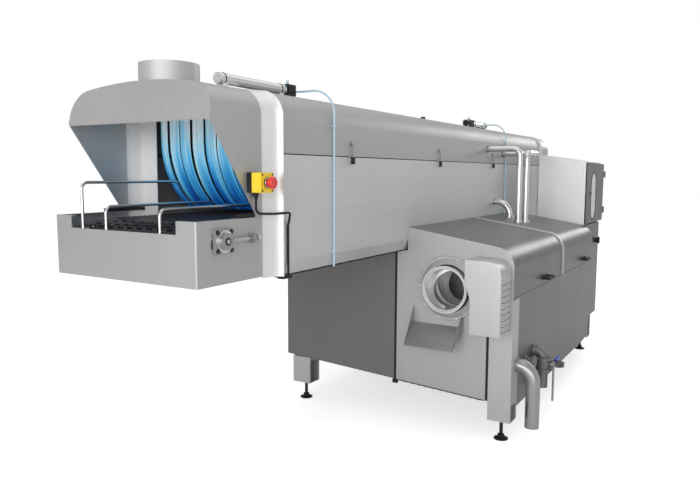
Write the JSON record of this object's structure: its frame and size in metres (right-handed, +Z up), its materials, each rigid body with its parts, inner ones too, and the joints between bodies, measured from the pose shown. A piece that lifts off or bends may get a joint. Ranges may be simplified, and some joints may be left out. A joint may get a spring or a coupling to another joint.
{
  "type": "crate tunnel washer",
  "caption": "Conveyor washer for crates: arched stainless tunnel with open hooded ends over a wash tank, with a side filter tank, rotary drum screen, drains, valves and a control cabinet",
  "frame": {"origin": "middle of the bounding box's footprint, on the floor under the levelling feet", "axes": "+X runs along the tunnel from the infeed to the outfeed, +Y points away from the filter tank, +Z is up"},
  "size_m": [3.948, 1.341, 1.569],
  "materials": {
    "stainless": "brushed stainless sheet",
    "bright_steel": "polished tube and bar",
    "black_rubber": "dark rubber",
    "black_plastic": "moulded, matt",
    "belt_plastic": "modular belt, matt",
    "blue_strip": "soft translucent strip",
    "yellow_plastic": "moulded",
    "red_plastic": "moulded",
    "blue_plastic": "dipped handle",
    "dark_steel": "dark cast valve body",
    "window_glass": "clear pane"
  },
  "bodies": {
    "plant": {"legs": "stainless", "levelling_feet": "black_plastic", "wash_tank": "stainless", "filter_tank": "stainless", "filter_panels": "stainless", "tank_covers": "stainless", "cover_handles": "black_plastic", "motor_cover": "stainless", "drum_collar": "stainless", "drum_cradle": "stainless", "discharge_chute": "stainless", "rubber_seals": "black_rubber", "tunnel_walls": "stainless", "tunnel_roof": "stainless", "tunnel_pan": "stainless", "mouth_frames": "stainless", "end_flanges": "stainless", "infeed_hood": "stainless", "outfeed_hood": "stainless", "exhaust_spigot": "stainless", "infeed_trough": "stainless", "outfeed_trough": "stainless", "wear_strips": "black_plastic", "conveyor_belt": "belt_plastic", "belt_shafts": "bright_steel", "belt_bearings": "stainless", "belt_frame": "stainless", "crate_guides": "bright_steel", "infeed_curtain": "blue_strip", "outfeed_curtain": "blue_strip", "stop_box_base": "black_plastic", "stop_box_lid": "yellow_plastic", "stop_cable": "black_rubber", "air_cylinders": "bright_steel", "roof_fittings": "black_plastic", "air_hoses": "black_rubber", "rinse_pipes": "bright_steel", "drain_pipe": "bright_steel", "tank_valves": "dark_steel", "seam_latches": "black_plastic", "pump_housing": "stainless", "housing_knob": "black_plastic", "control_cabinet": "stainless", "cabinet_hinges": "bright_steel"},
    "drum": {"rotary_drum": "stainless"},
    "door": {"cabinet_door": "stainless", "door_window": "window_glass"},
    "stop_head": {"stop_button": "red_plastic"},
    "lever": {"drain_lever": "bright_steel"},
    "handle": {"sample_handle": "blue_plastic"}
  },
  "joints": [
    {"name": "drum_turn", "type": "hinge", "parent": "plant", "child": "drum", "pos_m": [-0.21, -0.25748, 0.678], "axis": [1, 0, 0], "continuous": true},
    {"name": "door_hinge", "type": "hinge", "parent": "plant", "child": "door", "pos_m": [1.5003, -0.53397, 1.08], "axis": [0, 0, 1], "range_deg": [0, 110]},
    {"name": "button_press", "type": "slide", "parent": "plant", "child": "stop_head", "axis": [0, 1, 0], "range_m": [0, 0.004]},
    {"name": "lever_turn", "type": "hinge", "parent": "plant", "child": "lever", "pos_m": [-0.24, -0.65777, 0.29], "axis": [0, -1, 0], "range_deg": [0, 90]},
    {"name": "handle_turn", "type": "hinge", "parent": "plant", "child": "handle", "pos_m": [0.04, -0.60777, 0.248], "axis": [0, 0, 1], "range_deg": [0, 90]}
  ]
}
